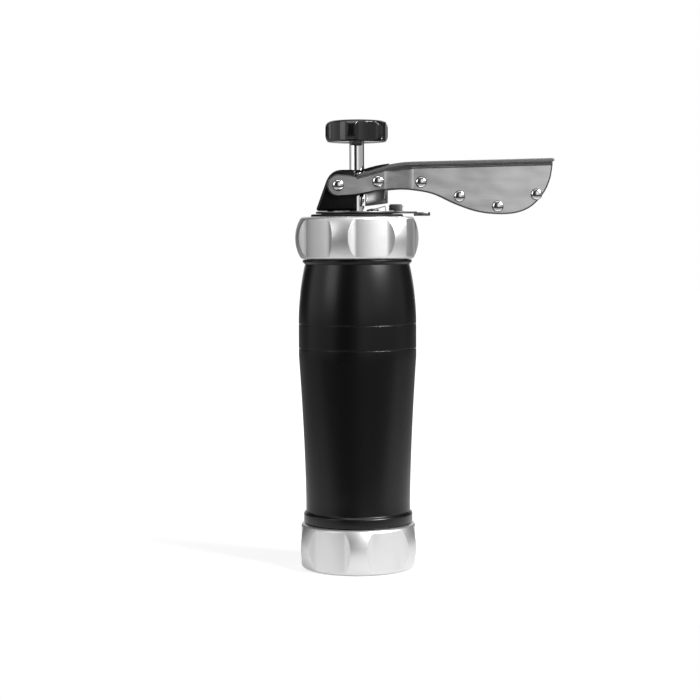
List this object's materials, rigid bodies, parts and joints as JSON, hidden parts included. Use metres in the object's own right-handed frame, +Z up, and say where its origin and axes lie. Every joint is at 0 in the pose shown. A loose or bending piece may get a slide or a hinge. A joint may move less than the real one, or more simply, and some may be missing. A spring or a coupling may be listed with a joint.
{
  "type": "cookie press",
  "caption": "Hand cookie press: waisted barrel, fluted ring nuts, pattern disc, toothed rod with piston, hooded head and a ratchet lever.",
  "frame": {"origin": "on the barrel's axis, in the plane that the lower ring nut stands on, 0.3 mm under the pattern disc", "axes": "+Z up along the barrel and the rod, towards the knob; +X along the lever; +Y to the far side"},
  "size_m": [0.1249, 0.06, 0.2168],
  "materials": {
    "barrel": "satin black anodised",
    "ring_nuts": "satin",
    "disc": "satin",
    "head": "black enamel",
    "bush": "matt",
    "hood": "black enamel",
    "screws": "zinc-plated",
    "lever": "chrome-plated steel sheet",
    "rivets": "polished",
    "pawl": "chrome-plated steel sheet",
    "leaf": "spring steel",
    "selector": "satin",
    "rod": "polished",
    "knob": "gloss black",
    "piston": "satin",
    "spring": "bright wire"
  },
  "bodies": {
    "barrel": {"barrel": "barrel"},
    "head": {"head_plate": "head", "rod_guide_bush": "bush", "hood": "hood", "hood_screw_near": "screws", "hood_screw_far": "screws", "pivot_rivet": "rivets", "holding_pawl": "leaf", "holding_pawl_rivet": "screws", "selector_keeper_near": "screws", "selector_keeper_far": "screws", "return_spring": "spring"},
    "upper_ring": {"upper_ring_nut": "ring_nuts"},
    "die": {"pattern_disc": "disc"},
    "lower_ring": {"lower_ring_nut": "ring_nuts"},
    "piston": {"piston": "piston"},
    "rod": {"rack_rod": "rod", "knob": "knob", "piston_nut": "screws"},
    "lever": {"lever_sheet_near": "lever", "lever_sheet_far": "lever", "pawl_rivet": "rivets", "handle_rivet_1": "rivets", "handle_rivet_2": "rivets", "handle_rivet_3": "rivets", "handle_rivet_4": "rivets"},
    "push_pawl": {"push_pawl": "pawl"},
    "selector": {"dose_selector": "selector"}
  },
  "joints": [
    {"name": "head_lift", "type": "slide", "parent": "barrel", "child": "head", "axis": [0, 0, 1], "range_m": [0, 0.16]},
    {"name": "upper_ring_turn", "type": "hinge", "parent": "head", "child": "upper_ring", "pos_m": [0, 0, 0.16], "axis": [0, 0, 1], "range_deg": [0, 1440]},
    {"name": "die_drop", "type": "slide", "parent": "barrel", "child": "die", "axis": [0, 0, -1], "range_m": [0, 0.0193]},
    {"name": "lower_ring_turn", "type": "hinge", "parent": "die", "child": "lower_ring", "pos_m": [0, 0, 0.01], "axis": [0, 0, -1], "range_deg": [0, 2160]},
    {"name": "piston_slide", "type": "slide", "parent": "head", "child": "piston", "axis": [0, 0, 1], "range_m": [-0.0104, 0.1394]},
    {"name": "rod_turn", "type": "hinge", "parent": "piston", "child": "rod", "pos_m": [0, 0, 0.2], "axis": [0, 0, 1], "range_deg": [0, 180]},
    {"name": "lever_pivot", "type": "hinge", "parent": "head", "child": "lever", "pos_m": [-0.009, 0, 0.185], "axis": [0, 1, 0], "range_deg": [0, 10], "stiffness_Nm_per_rad": 1.2, "springref_deg": -14.32, "deforming": ["return_spring"]},
    {"name": "pawl_pivot", "type": "hinge", "parent": "lever", "child": "push_pawl", "pos_m": [0.0101, 0, 0.1867], "axis": [0, 1, 0], "range_deg": [-10.2, 0]},
    {"name": "selector_turn", "type": "hinge", "parent": "head", "child": "selector", "pos_m": [0, 0, 0.172], "axis": [0, 0, 1], "range_deg": [0, 30]}
  ],
  "couplings": [
    {"joint": "die_drop", "follows": "lower_ring_turn", "m_per_rad": 0.0005093},
    {"joint": "pawl_pivot", "follows": "lever_pivot", "ratio": -1}
  ]
}
